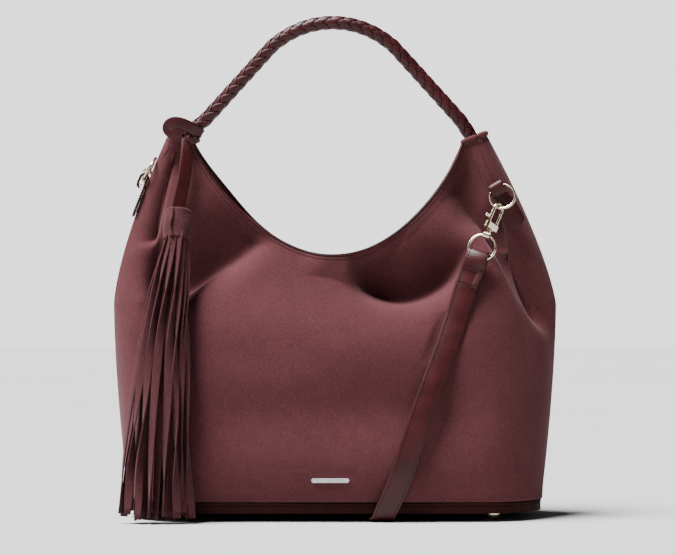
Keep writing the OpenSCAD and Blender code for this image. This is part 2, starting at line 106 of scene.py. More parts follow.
def curve(keys, step):
    """Evenly spaced points on a smooth curve through the keys. The first three columns are x, y, z."""
    keys = np.asarray(keys, float)
    ends = np.vstack([2 * keys[0] - keys[1], keys, 2 * keys[-1] - keys[-2]])
    t = np.linspace(0, 1, SMOOTH_STEPS, endpoint=False)[:, None]
    runs = [
        0.5 * (2 * b + (c - a) * t + (2 * a - 5 * b + 4 * c - d) * t**2 + (3 * b - a - 3 * c + d) * t**3)
        for a, b, c, d in zip(ends, ends[1:], ends[2:], ends[3:])
    ]
    fine = np.vstack(runs + [keys[-1:]])
    steps = np.linalg.norm(np.diff(fine[:, :3], axis=0), axis=1)
    along = np.concatenate([[0], np.cumsum(steps)])
    at = np.linspace(0, along[-1], max(3, round(along[-1] / step)) + 1)
    return np.stack([np.interp(at, along, column) for column in fine.T], axis=1)


def line_length(line):
    """Length of a line of points."""
    return float(np.linalg.norm(np.diff(line, axis=0), axis=1).sum())


def rounded(half_w, half_t, corner, count=3):
    """Outline of a flat strip with rounded edges, as (across, up) points."""
    points = []
    for quarter, (x, y) in enumerate([(1, 1), (-1, 1), (-1, -1), (1, -1)]):
        for i in range(count):
            angle = math.pi / 2 * (quarter + i / (count - 1))
            points.append((
                x * (half_w - corner) + corner * math.cos(angle),
                y * (half_t - corner) + corner * math.sin(angle),
            ))
    return np.array(points)


def oval(half_w, half_t, count):
    """Outline of an oval rod, as (across, up) points."""
    angles = np.arange(count) * 2 * math.pi / count
    return np.stack([half_w * np.cos(angles), half_t * np.sin(angles)], axis=1)


def ribbon(half_widths, half_t):
    """Outlines of a flat band, one for each of its half widths."""
    return np.stack([rounded(1.0, 1.0, 0.5) * [w, half_t] for w in half_widths])


def middle_of(node):
    """The centre of a CAD node's box."""
    low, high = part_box(node)
    return (np.array(low) + np.array(high)) / 2


class Pile:
    """Vertices and faces of one piece, with the number of its material for each face."""

    def __init__(self):
        self.points = []
        self.faces = []
        self.kinds = []
        self.count = 0

    def add(self, points, faces, kind=0):
        """Takes in more vertices, and faces that count from the first of them."""
        points = np.asarray(points, float).reshape(-1, 3)
        self.points.append(points)
        self.faces.extend([[i + self.count for i in face] for face in faces])
        self.kinds.extend([kind] * len(faces))
        self.count += len(points)

    def grid(self, points, kind=0, wrap=False):
        """A skin over a grid of points. wrap joins the last column to the first."""
        rows, columns = points.shape[:2]
        ends = columns if wrap else columns - 1
        faces = [
            (i * columns + j, i * columns + (j + 1) % columns,
             (i + 1) * columns + (j + 1) % columns, (i + 1) * columns + j)
            for i in range(rows - 1) for j in range(ends)
        ]
        self.add(points, faces, kind)

    def sweep(self, line, sides, section, kind=0):
        """A closed skin along a line. section holds (across, up) offsets, the same or one set a point."""
        ahead = unit(np.gradient(line, axis=0))
        sides = np.broadcast_to(sides, line.shape)
        sides = unit(sides - ahead * (sides * ahead).sum(1, keepdims=True))
        up = np.cross(ahead, sides)
        section = np.broadcast_to(section, (len(line),) + section.shape[-2:])
        rings = line[:, None] + sides[:, None] * section[..., :1] + up[:, None] * section[..., 1:]
        self.grid(rings, kind, wrap=True)
        m = section.shape[-2]
        first = self.count - len(line) * m
        self.faces.append([first + i for i in range(m)][::-1])
        self.faces.append([self.count - m + i for i in range(m)])
        self.kinds.extend([kind, kind])

    def stitches(self, line, out, pitch=3.2 * MM, radius=0.32 * MM):
        """Short stitches along a line, on the side that out points to, in the second material."""
        out = np.broadcast_to(out, line.shape)
        joined = curve(np.hstack([line, out]), pitch)
        for a, b in zip(joined, joined[1:]):
            middle = (a + b)[:3] / 2
            ahead = (b - a)[:3]
            thread = middle + STITCH_ALONG[:, None] * ahead + radius * STITCH_RISE[:, None] * unit(a[3:])
            side = np.cross(ahead, a[3:])
            if np.linalg.norm(side) > 0:
                self.sweep(thread, side, oval(radius, radius, THREAD_SIDES), kind=1)

    def piece(self, name, materials):
        """The object made of everything in the pile."""
        mesh = bpy.data.meshes.new(name)
        mesh.from_pydata(np.vstack(self.points).tolist(), [], self.faces)
        for m in materials:
            mesh.materials.append(m)
        mesh.polygons.foreach_set("material_index", self.kinds)
        mesh.polygons.foreach_set("use_smooth", [True] * len(self.faces))
        mesh.update()
        return add_object(name, mesh)


def settle(made, body, slot, *nodes):
    """The piece rides on a body and stands for these CAD nodes, which are hidden. slot is not used."""
    if body:
        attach(made, body)
    if nodes:
        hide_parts(*nodes)
    return made


def thicken(made, thickness):
    """Gives an open skin its thickness, inwards from its face."""
    solid = made.modifiers.new("thickness", "SOLIDIFY")
    solid.thickness = thickness
    solid.offset = -1
    return made


# Materials

def fill(node, **sockets):
    """Sets these values on a shader node's sockets."""
    for socket, value in sockets.items():
        node.inputs[socket.replace("_", " ")].default_value = value


class Finish:
    """A node material with short calls for its textures."""

    def __init__(self, name, roughness, metallic=0.0, **sockets):
        self.material = bpy.data.materials.new(name)
        self.material.use_nodes = True
        self.nodes = self.material.node_tree.nodes
        self.link = self.material.node_tree.links.new
        self.shader = self.nodes["Principled BSDF"]
        fill(self.shader, Roughness=roughness, Metallic=metallic, **sockets)
        self.place = self.nodes.new("ShaderNodeTexCoord").outputs["Object"]

    def node(self, kind, **sockets):
        """A new node with these values on its sockets."""
        made = self.nodes.new("ShaderNode" + kind)
        fill(made, **sockets)
        return made

    def noise(self, scale, detail, stretch=(1, 1, 1)):
        """Cloudy texture, stretched along x, y and z."""
        texture = self.node("TexNoise", Scale=scale, Detail=detail)
        mapping = self.node("Mapping", Scale=stretch)
        self.link(self.place, mapping.inputs["Vector"])
        self.link(mapping.outputs["Vector"], texture.inputs["Vector"])
        return texture.outputs["Fac"]

    def cells(self, scale):
        """Pebbled texture."""
        texture = self.node("TexVoronoi", Scale=scale)
        self.link(self.place, texture.inputs["Vector"])
        return texture.outputs["Distance"]

    def wave(self, scale, axis):
        """Banded texture."""
        texture = self.node("TexWave", Scale=scale, Distortion=0.6)
        texture.bands_direction = axis
        self.link(self.place, texture.inputs["Vector"])
        return texture.outputs["Fac"]

    def maths(self, operation, a, b):
        """One operation on two values, each a number or another node's output."""
        node = self.node("Math")
        node.operation = operation
        for socket, value in zip(node.inputs, (a, b)):
            if isinstance(value, (int, float)):
                socket.default_value = value
            else:
                self.link(value, socket)
        return node.outputs[0]

    def mix(self, a, a_share, b, b_share):
        """Two textures added, each times its share."""
        return self.maths("ADD", self.maths("MULTIPLY", a, a_share), self.maths("MULTIPLY", b, b_share))

    def colour(self, fac, stops):
        """The base colour, from a ramp through (place, colour) stops."""
        node = self.node("ValToRGB")
        elements = node.color_ramp.elements
        elements[0].position = stops[0][0]
        elements[1].position = stops[-1][0]
        for at, _ in stops[1:-1]:
            elements.new(at)
        for element, (_, shade) in zip(elements, stops):
            element.color = (*shade, 1)
        self.link(fac, node.inputs["Fac"])
        self.link(node.outputs["Color"], self.shader.inputs["Base Color"])

    def roughness(self, fac, low, high):
        """A gloss that changes between two roughnesses."""
        node = self.node("MapRange", To_Min=low, To_Max=high)
        self.link(fac, node.inputs["Value"])
        self.link(node.outputs["Result"], self.shader.inputs["Roughness"])

    def bump(self, height, distance, strength):
        """Fine relief that is too small for the mesh."""
        node = self.node("Bump", Distance=distance, Strength=strength)
        self.link(height, node.inputs["Height"])
        self.link(node.outputs["Normal"], self.shader.inputs["Normal"])


def suede_finish(name, dark, mid, light):
    """Short nap: soft patches where it lies differently, and fine fibres."""
    f = Finish(name, 0.95, Sheen_Weight=0.12, Sheen_Roughness=0.4, Sheen_Tint=(0.75, 0.5, 0.52, 1),
               Specular_IOR_Level=0.2)
    patches = f.mix(f.noise(14, 4), 0.5, f.noise(70, 3), 0.5)
    nap = f.noise(900, 3, (1, 1, 0.6))
    f.colour(f.mix(patches, 0.35, nap, 0.65), [(0.30, dark), (0.50, mid), (0.70, light)])
    f.bump(f.mix(nap, 1, f.noise(2600, 2), 0.6), 0.35 * MM, 0.8)
    return f.material


def leather_finish(name, dark, mid, light, rough, gloss):
    """Smooth leather: fine pebbled grain, and a gloss that wears unevenly."""
    f = Finish(name, rough, Coat_Weight=0.1 * gloss, Coat_Roughness=0.25, Specular_IOR_Level=gloss)
    wear = f.noise(60, 5)
    f.colour(f.mix(wear, 0.7, f.noise(800, 2), 0.3), [(0.3, dark), (0.5, mid), (0.72, light)])
    f.roughness(wear, rough - 0.04, rough + 0.08)
    f.bump(f.mix(f.cells(750), 1, f.noise(1500, 3), 0.5), 0.12 * MM, 0.6)
    return f.material


def woven_finish(name, dark, light, scale):
    """Plain weave: threads that cross, with slubs."""
    f = Finish(name, 0.85, Sheen_Weight=0.1)
    weave = f.maths("MULTIPLY", f.wave(scale, "X"), f.wave(scale, "Z"))
    f.colour(f.mix(weave, 0.4, f.noise(180, 4), 0.6), [(0.2, dark), (0.7, light)])
    f.bump(weave, 0.2 * MM, 0.7)
    return f.material


def metal_finish(name, dark, light, rough):
    """Plated metal: faint smudges and hairline scratches."""
    f = Finish(name, rough, metallic=1.0)
    smudge = f.noise(160, 4)
    f.colour(smudge, [(0.3, dark), (0.7, light)])
    f.roughness(smudge, rough, rough + 0.12)
    f.bump(f.noise(900, 2, (1, 1, 12)), 0.03 * MM, 0.25)
    return f.material


def thread_finish(name, dark, light):
    """Twisted sewing thread."""
    f = Finish(name, 0.7, Specular_IOR_Level=0.25)
    twist = f.wave(1400, "DIAGONAL")
    f.colour(twist, [(0.2, dark), (0.8, light)])
    f.bump(twist, 0.1 * MM, 0.6)
    return f.material


SUEDE = suede_finish(
    "suede", (0.052, 0.0125, 0.0150), (0.070, 0.0185, 0.0220), (0.094, 0.0270, 0.0315)
)
FRINGE_SUEDE = suede_finish(
    "fringe_suede", (0.034, 0.008, 0.010), (0.050, 0.013, 0.016), (0.075, 0.022, 0.026)
)
LEATHER = leather_finish(
    "smooth_leather", (0.020, 0.0020, 0.0030), (0.034, 0.0030, 0.0042), (0.051, 0.0050, 0.0075),
    rough=0.42, gloss=0.26,
)
# The base and its piping: the strap's leather darkened to about half its brightness, as painted shade under
# the bag
SHADE_DARKENED_LEATHER = leather_finish(
    "base_leather_painted_shade", (0.010, 0.001, 0.001), (0.017, 0.002, 0.002), (0.026, 0.003, 0.004),
    rough=0.6, gloss=0.08,
)
THREAD = thread_finish("thread", (0.009, 0.002, 0.003), (0.024, 0.005, 0.006))
LINING = woven_finish("lining_cloth", (0.22, 0.16, 0.11), (0.36, 0.28, 0.20), 420)
TAPE = woven_finish("zip_tape", (0.03, 0.006, 0.008), (0.07, 0.018, 0.022), 700)
ROPE = woven_finish("cotton_rope", (0.50, 0.44, 0.34), (0.75, 0.69, 0.58), 500)
BOARD = woven_finish("base_board", (0.05, 0.05, 0.05), (0.09, 0.09, 0.09), 260)
GOLD = metal_finish("pale_gold", (0.62, 0.49, 0.33), (0.86, 0.74, 0.56), 0.16)
STEEL = metal_finish("satin_steel", (0.50, 0.50, 0.50), (0.72, 0.72, 0.71), 0.26)


# Strap: two lengths that meet under the base, each with its stitched fold round a ring

STRAP_W = 19.8 * MM
STRAP_T = 2 * MM
STRAP_EDGE = 0.7 * MM
STRAP_STEP = 4 * MM
SEAM_INSET = 2.1 * MM
FOLD_DROP = 6.1 * MM
FOLD_R = 3 * MM
FOLD_TAIL = 8 * MM
LAP = 32 * MM
LAP_END_OUT = 1.2 * MM
LAP_MIDDLE_OUT = 1.8 * MM
# Steps past the turn at which a row is sewn across the lap
LAP_SEAMS = (5, 8)
# Points of the strap's two routes. The strap's width lies along x, or along the way that follows a point.
STRAP_FRONT = [
    (0.121, -0.047, 0.221), (0.115, -0.051, 0.206), (0.106, -0.058, 0.177), (0.097, -0.065, 0.151),
    (0.085, -0.072, 0.120), (0.074, -0.077, 0.090), (0.066, -0.079, 0.066), (0.059, -0.079, 0.044),
    (0.051, -0.076, 0.024), (0.045, -0.073, 0.011), (0.042, -0.068, 0.004), (0.038, -0.058, 0.0026),
    (0.032, -0.034, 0.0025), (0.027, -0.004, 0.0025),
]
STRAP_REAR = [
    (0.027, -0.004, 0.0025), (0.019, 0.026, 0.0025), (0.007, 0.052, 0.0025),
    (-0.006, 0.078, 0.004, 1, 0, 0.2), (-0.018, 0.106, 0.008, 1, 0, 0.8),
    (-0.032, 0.138, 0.011, 0.4, 0, 1), (-0.054, 0.168, 0.012, 0, 0, 1), (-0.082, 0.188, 0.012, 0, 0, 1),
    (-0.112, 0.192, 0.012, 0, 0, 1), (-0.138, 0.176, 0.012, 0, 0, 1), (-0.154, 0.150, 0.012, 0.2, 0, 1),
    (-0.160, 0.122, 0.012, 0.7, 0, 0.8), (-0.161, 0.096, 0.017, 1, 0, 0.3), (-0.160, 0.078, 0.032),
    (-0.160, 0.068, 0.060), (-0.161, 0.062, 0.092), (-0.162, 0.058, 0.130), (-0.163, 0.052, 0.168),
    (-0.164, 0.045, 0.204), (-0.165, 0.040, 0.230),
]


def ring_frame(node, down):
    """Centre of a ring, and the ways down, across and out of it, from its mesh."""
    points = np.array([v.co for v in frame["nodes"][node].data.vertices])
    normal = np.linalg.svd(points - points.mean(0), full_matrices=False)[2][2]
    down = unit(down)
    side = unit(np.cross(normal, down))
    side = side if side[0] > 0 else -side
    return middle_of(node), down, side, np.cross(down, side)


def fold_keys(node, joint, out_sign):
    """The strap's end, folded round the ring: first the lap that is sewn down, then the turn."""
    centre, down, side, out = ring_frame(node, JOINTS[joint]["axis"])
    out = out * out_sign
    centre = centre + FOLD_DROP * down
    keys = [centre + LAP * down - LAP_END_OUT * out, centre + LAP / 2 * down - LAP_MIDDLE_OUT * out]
    for angle in np.radians(range(0, 181, 30)):
        keys.append(centre - FOLD_R * (math.cos(angle) * out + math.sin(angle) * down))
    keys.append(centre + FOLD_R * out + FOLD_TAIL * down)
    return np.hstack([keys, np.tile(side, (len(keys), 1))])


def strap_piece(name, keys, wrapped):
    """A strap length with two rows of stitches and the box sewn through the lap."""
    joined = curve(keys, STRAP_STEP)
    line = joined[:, :3]
    sides = unit(joined[:, 3:])
    ahead = unit(np.gradient(line, axis=0))
    sides = unit(sides - ahead * (sides * ahead).sum(1, keepdims=True))
    out = np.cross(ahead, sides)
    pile = Pile()
    pile.sweep(line, sides, rounded(STRAP_W / 2, STRAP_T / 2, STRAP_EDGE))
    inset = STRAP_W / 2 - SEAM_INSET
    for front in (-1, 1):
        for edge in (-1, 1):
            row = line + edge * inset * sides + front * out * STRAP_T / 2
            pile.stitches(row, front * out)
    for past in LAP_SEAMS:
        step = wrapped + past
        across = np.linspace(-inset, inset, 7)[:, None] * sides[step] + line[step]
        for front in (-1, 1):
            pile.stitches(across + front * out[step] * STRAP_T / 2, front * out[step])
    return pile.piece(name, [LEATHER, THREAD]), line


def make_straps():
    """Each length starts in its fold and ends where the two meet."""
    turn_points = round((LAP + math.pi * FOLD_R) / STRAP_STEP)
    for name, side, out_sign, points in (
        ("strap_front_length", "right", 1, STRAP_FRONT), ("strap_rear_length", "left", -1, STRAP_REAR[::-1]),
    ):
        fold = fold_keys(f"{side}_strap_ring", f"{side}_hook_spin", out_sign)
        route = [point if len(point) == 6 else (*point, 1, 0, 0) for point in points]
        made, line = strap_piece(name, np.vstack([fold, route]), turn_points)
        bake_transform(made)
        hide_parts("strap")


make_straps()


# Body: the same surface as the CAD panels, with the folds of the soft suede

BASE_LOW, BASE_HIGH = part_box("base_panel")
PANEL_LOW, PANEL_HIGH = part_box("front_panel")
BASE_W = BASE_HIGH.x - BASE_LOW.x
BASE_D = BASE_HIGH.y - BASE_LOW.y
BASE_R = 56 * MM
SEAM_Z = PANEL_LOW.z
BELLY_X = PANEL_HIGH.x
BELLY_Z = 190 * MM
TUCK = 13 * MM
TUCK_POWER = 1.6
SHOULDER_POWER = 1.37
SWELL = 19 * MM
SWELL_POWER = 0.75
LEAN = 7 * MM
MOUTH_X = 142.6 * MM
MOUTH_Z = PANEL_HIGH.z
MOUTH_A = 11.8 * MM
MOUTH_B = 13 * MM
MOUTH_TURN = math.radians(150)
HEM_SHARE = 0.82
HEM_POWER = 2.1
HEM_X = 120.6 * MM
HEM_Y = 6.5 * MM
HEM_Z = 336 * MM
DIP_Y = 35 * MM
DIP_Z = 233 * MM
PANEL_T = 2.5 * MM
STRAIGHT = BASE_W / 2 - BASE_R
CORNER = BASE_R * math.pi / 2
HALF_LEN = STRAIGHT + CORNER + BASE_D / 2 - BASE_R
NEAR_U = 0.01


def top_edge(u):
    """The panel's top edge at u: the opening's edge, then half of a sleeve's oval mouth."""
    t = np.minimum(np.abs(u) / HEM_SHARE, 1)
    turn = MOUTH_TURN * (1 - np.clip((np.abs(u) - HEM_SHARE) / (1 - HEM_SHARE), 0, 1))
    x = MOUTH_X - MOUTH_A * (1 - np.cos(turn))
    hem_z = DIP_Z + (HEM_Z - DIP_Z) * t**HEM_POWER
    mouth_z = HEM_Z + (x - HEM_X) / (MOUTH_X - HEM_X) * (MOUTH_Z - HEM_Z)
    in_hem = np.abs(u) < HEM_SHARE
    return np.stack([
        np.sign(u) * np.where(in_hem, HEM_X * t, x),
        np.where(in_hem, -HEM_Y - (DIP_Y - HEM_Y) * (1 - t * t), -MOUTH_B * np.sin(turn)),
        np.where(in_hem, hem_z, mouth_z),
    ], axis=-1)


def face(u, v):
    """Points of the front panel's outer face, at u across and v up."""
    u, v = np.broadcast_arrays(u, v)
    s = np.abs(u) * HALF_LEN
    turn = np.clip((s - STRAIGHT) / BASE_R, 0, math.pi / 2)
    base_x = np.minimum(s, STRAIGHT) + BASE_R * np.sin(turn)
    base_y = BASE_R * (1 - np.cos(turn)) - BASE_D / 2 + np.maximum(0, s - STRAIGHT - CORNER)
    top = top_edge(u)
    z = SEAM_Z + v * (top[..., 2] - SEAM_Z)
    above = np.maximum(0, z - BELLY_Z) / (MOUTH_Z - BELLY_Z)
    below = np.maximum(0, BELLY_Z - z) / (BELLY_Z - SEAM_Z)
    half = BELLY_X - TUCK * below**TUCK_POWER - (BELLY_X - MOUTH_X) * above**SHOULDER_POWER
    bulge = half - BASE_W / 2 - (MOUTH_X - BASE_W / 2) * (z - SEAM_Z) / (MOUTH_Z - SEAM_Z)
    return np.stack([
        np.sign(u) * (base_x * (1 - v) + bulge * np.abs(u) ** 3) + top[..., 0] * v - LEAN * above,
        base_y * (1 - v) + top[..., 1] * v - SWELL * np.sin(math.pi * v**SWELL_POWER) * (1 - u**4),
        z,
    ], axis=-1)


def layer(u, v, depth):
    """The same points moved inwards, level with the floor."""
    u, v = np.broadcast_arrays(u, v)
    step = face(np.minimum(1, u + NEAR_U), v) - face(np.maximum(-1, u - NEAR_U), v)
    inward = unit(np.stack([-step[..., 1], step[..., 0], np.zeros(u.shape)], axis=-1))
    return face(u, v) + depth * inward


CREASE_STEP = 2 * MM
CREASE_BLUR = 5 * MM
CREASE_END = 0.3


def smooth(share):
    """0 up to 0, 1 from 1, and an even rise between."""
    share = np.clip(share, 0, 1)
    return share * share * (3 - 2 * share)


def crease(x, z, points, left, right, depth, power=2.0):
    """Height of a fold whose line runs through (x, z) points, with a width on each side of that line.

    Points, widths and depth are in millimetres. It fades out at both ends. A power near 1 makes a sharp
    fold and 2 a round one."""
    line = curve([(px * MM, 0, pz * MM) for px, pz in points], CREASE_STEP)[:, [0, 2]]
    ahead = unit(np.gradient(line, axis=0))
    along = np.linspace(0, 1, len(line))
    share = smooth(np.minimum(along, 1 - along) / CREASE_END)
    gap = np.hypot(x[..., None] - line[:, 0], z[..., None] - line[:, 1])
    nearest = gap.argmin(-1)
    least = gap.min(-1)
    pull = np.exp((least[..., None] - gap) / CREASE_BLUR)
    level = (pull * share).sum(-1) / pull.sum(-1)
    way = ahead[nearest]
    off_x = x - line[nearest, 0]
    off_z = z - line[nearest, 1]
    beside = np.clip(way[..., 0] * off_x + way[..., 1] * off_z, -CREASE_STEP / 2, CREASE_STEP / 2)
    off = np.sqrt(np.maximum(0, least**2 - beside**2))
    to_left = (way[..., 0] * off_z - way[..., 1] * off_x) / np.maximum(off, 0.01 * MM)
    width = (left + right) / 2 + (left - right) / 2 * np.clip(1.5 * to_left, -1, 1)
    return depth * MM * level * np.exp(-(off / (width * MM)) ** power)


# Each fold in millimetres: its line, its widths to the left and right of that, its height; then its power
FRONT_FOLDS = [
    # The drape under the opening's left edge: a slope in, then a turn out to the belly
    ([(-175, 192), (-154, 204), (-133.8, 216.5), (-115.4, 228), (-93, 241.5), (-75.8, 255), (-55, 274)],
     30, 13, -42, 1.5),
    # The hollow under its right edge
    ([(20, 256), (21.5, 236), (29, 217.5), (45, 207.5), (65, 205.5), (87, 213), (107, 229), (124, 254)],
     27, 12, -37, 1.6),
    # The belly's roll, and the slack below it
    ([(-190, 172), (-50, 172), (40, 158), (190, 172)], 30, 30, 5, 2.0),
    ([(-190, 90), (-40, 94), (60, 94), (190, 90)], 28, 34, -6, 2.0),
    # The pleat beside the right sleeve, and the one that carries on below it to the side
    ([(98, 345), (107.5, 330), (115.5, 313.5), (123.2, 296.2), (130.5, 277), (140.5, 256)],
     5, 17, -29, 1.5),
    ([(128, 283), (136, 269.5), (144.5, 255.5), (154.5, 238.6), (164, 220.8), (174, 201.3), (184, 183.6),
      (199, 160)], 12, 7.5, -34, 1.7),
    ([(122, 252), (138, 224), (153, 196), (168, 166)], 8, 12, 2, 2.0),
    # The pleat beside the left sleeve, its foot, and the fold behind the tassel
    ([(-129, 352), (-134.2, 333.4), (-140.5, 315), (-147.5, 295.6), (-154.8, 275), (-160.5, 259),
      (-168, 250.5), (-188, 246)], 4.5, 18, -21, 1.5),
    ([(-122, 325), (-131, 292), (-143, 262)], 7, 6, 3, 2.0),
    ([(-150, 230), (-158, 190), (-162, 120)], 14, 14, -5, 2.0),
]
BACK_FOLDS = [
    ([(-107, 322), (-116, 296), (-126, 272), (-137, 250)], 9, 5, -10, 1.6),
    ([(107, 322), (116, 294), (128, 268), (142, 248)], 5, 9, -10, 1.6),
    ([(-85, 230), (-50, 212), (-10, 209), (35, 216), (85, 240)], 22, 10, -10, 1.5),
    ([(-90, 198), (-30, 186), (30, 187), (95, 204)], 16, 16, 4, 2.0),
    ([(140, 250), (160, 220), (182, 185)], 10, 10, -8, 1.6),
    ([(-140, 240), (-158, 200), (-166, 160)], 14, 14, -5, 2.0),
]
SIDE_SEAM = [
    (127.5, 342), (129, 335), (135.7, 315), (142.6, 300), (155, 272), (163.6, 254.6), (175, 236), (186, 214),
]
# The width and height of the seam's groove, and of the swelling beside it
SEAM_SHAPE = ((1.5, -2.2), (4.5, 1.3))
SLEEVE_COLUMNS = 44
PANEL_U = np.concatenate([
    -np.linspace(1, HEM_SHARE, SLEEVE_COLUMNS, endpoint=False),
    np.linspace(-HEM_SHARE, HEM_SHARE, 160),
    np.linspace(HEM_SHARE, 1, SLEEVE_COLUMNS + 1)[1:],
])[:, None]
PANEL_V = np.linspace(0, 1, 170)[None]
# Slow waves: their heights, and for each its rates along x and z and its start
WAVE_HEIGHTS = {1: 0.6 * MM, -1: 0.3 * MM}
WAVES = ((31, 17, 0.4), (-23, 47, 0.8))
# Shares of the panel's height over which folds fade out at its top and its foot
TOP_FADE = 0.04
FOOT_FADE = 0.05
END_POWER = 24
# How far in front of the bag's middle a fold stops, below the first height and above the second
SLEEVE_Z = (0.316, 0.332)
FOLD_ROOM = (2 * MM, 8 * MM)
LEAST_ROOM = 0.1 * MM
# Where the back's hem stands up a little
REAR_RISE = 6 * MM
REAR_RISE_X = -102 * MM
REAR_RISE_W = 26 * MM

# What is fixed to or lies on the panels: its gap, how far round it they are flat, and the fade after that
BADGE_LOW, BADGE_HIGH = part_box("badge")
BADGE_SINK = 0.3 * MM
BADGE_FLAT = 1 * MM
SNAPS = {1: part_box("snap_socket"), -1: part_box("snap_stud")}
SNAP_COVER = 4.6 * MM
SNAP_FLAT = 8 * MM
SNAP_FADE = 26 * MM
STRAP_PATH = np.array(STRAP_FRONT[-5::-1])
STRAP_COVER = 1.7 * MM
STRAP_FLAT = 11 * MM
PRESS_FADE = 9 * MM


def nearness(off, flat, fade):
    """1 within a flat distance, then a smooth fall to 0."""
    return smooth(1 - (off - flat) / fade)


def over_snap(points, side):
    """How far forward the face is held where half of the snap is fixed behind it."""
    low, high = SNAPS[side]
    x, y, z = np.moveaxis(points, -1, 0)
    most = min(side * low.y, side * high.y) - SNAP_COVER
    off = np.hypot(x - (low.x + high.x) / 2, z - (low.z + high.z) / 2)
    return -nearness(off, SNAP_FLAT, SNAP_FADE) * np.maximum(0, y - most)


def pressed(points):
    """How far back the face is pressed where the strap lies on it and where the badge is fixed."""
    x, y, z = np.moveaxis(points, -1, 0)
    strap_x = np.interp(z, STRAP_PATH[:, 2], STRAP_PATH[:, 0])
    strap_y = np.interp(z, STRAP_PATH[:, 2], STRAP_PATH[:, 1])
    off_strap = np.abs(x - strap_x) + 2 * np.maximum(0, z - STRAP_PATH[-1, 2])
    badge_x = (BADGE_LOW.x + BADGE_HIGH.x) / 2
    badge_z = (BADGE_LOW.z + BADGE_HIGH.z) / 2
    off_badge = np.hypot(
        np.maximum(0, np.abs(x - badge_x) - (BADGE_HIGH.x - BADGE_LOW.x) / 2),
        np.maximum(0, np.abs(z - badge_z) - (BADGE_HIGH.z - BADGE_LOW.z) / 2),
    )
    push = np.zeros(x.shape)
    for off, least, flat in (
        (off_strap, strap_y + STRAP_COVER, STRAP_FLAT),
        (off_badge, BADGE_HIGH.y - BADGE_SINK, BADGE_FLAT),
    ):
        push = np.maximum(push, nearness(off, flat, PRESS_FADE) * np.maximum(0, least - y))
    return push


def folded(u, v, side, depth=0.0, ease=1.0):
    """One panel's face with its folds and slow waves, which fade out at its edges, and a depth inside it.

    Points are given as if on the front, and side is -1 for the back panel. An ease above 1 widens the
    hollows and leaves out the ridges, for a layer that has to stay behind the suede."""
    points = face(u, v)
    x, z = points[..., 0], points[..., 2]
    normal = unit(np.cross(np.gradient(points, axis=0), np.gradient(points, axis=1)))
    normal *= np.sign(-normal[len(normal) // 2, normal.shape[1] // 2, 1])
    height = WAVE_HEIGHTS[side] * sum(np.sin(a * x + b * z + start) for a, b, start in WAVES)
    for line, left, right, rise, power in FRONT_FOLDS if side > 0 else BACK_FOLDS:
        if ease == 1 or rise < 0:
            height = height + crease(x, z, line, left * ease, right * ease, rise, power)
    fade = np.clip((1 - v) / TOP_FADE, 0, 1) * np.clip(v / FOOT_FADE, 0, 1)
    height = height * fade * (1 - np.abs(u) ** END_POWER)
    if side > 0:
        for width, rise in SEAM_SHAPE:
            height = height + crease(x, z, SIDE_SEAM, width, width, rise)
    outer = points + normal * height[..., None]
    room = np.maximum(LEAST_ROOM, -np.interp(z, SLEEVE_Z, FOLD_ROOM) - points[..., 1])
    back = np.maximum(0, outer[..., 1] - points[..., 1])
    outer[..., 1] -= back - back / (1 + (back / room) ** 4) ** 0.25
    outer[..., 1] += over_snap(outer, side)
    if side > 0:
        outer[..., 1] += pressed(outer)
    else:
        outer[..., 2] += REAR_RISE * np.exp(-((x - REAR_RISE_X) / REAR_RISE_W) ** 2) * np.clip(v, 0, 1) ** 8
    return outer - normal * depth, normal


# The rolled rim of a sleeve's mouth, which is pinched where a seam crosses it
RIM_OVAL = oval(3.1 * MM, 2.6 * MM, 12)
RIM_INSET = 0.6 * MM
NOTCH_X = 127.5 * MM
NOTCH_W = 1.2 * MM
NOTCH_DEPTH = 0.55
STITCH_LIFT = 0.1 * MM
SUEDE_PITCH = 2.8 * MM
FINE_THREAD = 0.28 * MM
HEM = np.abs(PANEL_U[:, 0]) <= HEM_SHARE
MOUTHS = (PANEL_U[:, 0] <= -HEM_SHARE, PANEL_U[:, 0] >= HEM_SHARE)


def make_panel(name, node, side, points, normal):
    """A suede panel with the stitches beside its hem and a rolled rim at each sleeve's mouth."""
    flip = np.array([1, side, 1])
    pile = Pile()
    shape = points[::-1] if side > 0 else points
    pile.grid(shape * flip)
    made = thicken(pile.piece(name, [SUEDE]), PANEL_T)
    settle(made, "bag", "suede", node)
    trim = Pile()

    def sew(columns, row):
        line = points[columns, row] + normal[columns, row] * STITCH_LIFT
        trim.stitches(line * flip, normal[columns, row] * flip, SUEDE_PITCH, FINE_THREAD)

    sew(HEM, -3)
    for mouth in MOUTHS:
        rim = points[mouth, -1] - normal[mouth, -1] * RIM_INSET
        pinch = NOTCH_DEPTH * np.exp(-((rim[:, 0] - NOTCH_X) / NOTCH_W) ** 2)
        trim.sweep(rim * flip, normal[mouth, -1] * flip, RIM_OVAL * (1 - pinch)[:, None, None])
        sew(mouth, -4)
    settle(trim.piece(name + "_rim", [SUEDE, THREAD]), "bag", "suede")


BINDING_OVAL = oval(1.9 * MM, 1.3 * MM, 10)
BINDING_LIFT = 0.7 * MM
BINDING_PITCH = 2.4 * MM
BINDING_THREAD = 0.22 * MM


def make_binding(name, node, side, points):
    """A thin leather cord over the opening's edge, with its own fine stitches."""
    line = (points[HEM, -1] + [0, PANEL_T / 2, BINDING_LIFT]) * [1, side, 1]
    pile = Pile()
    pile.sweep(line, FACING, BINDING_OVAL)
    row = line + np.array([0, -1.6 * side, 0.5]) * MM
    pile.stitches(row, np.array([0, -side, 0.5]), BINDING_PITCH, BINDING_THREAD)
    settle(pile.piece(name, [LEATHER, THREAD]), "bag", "smooth_leather", node)


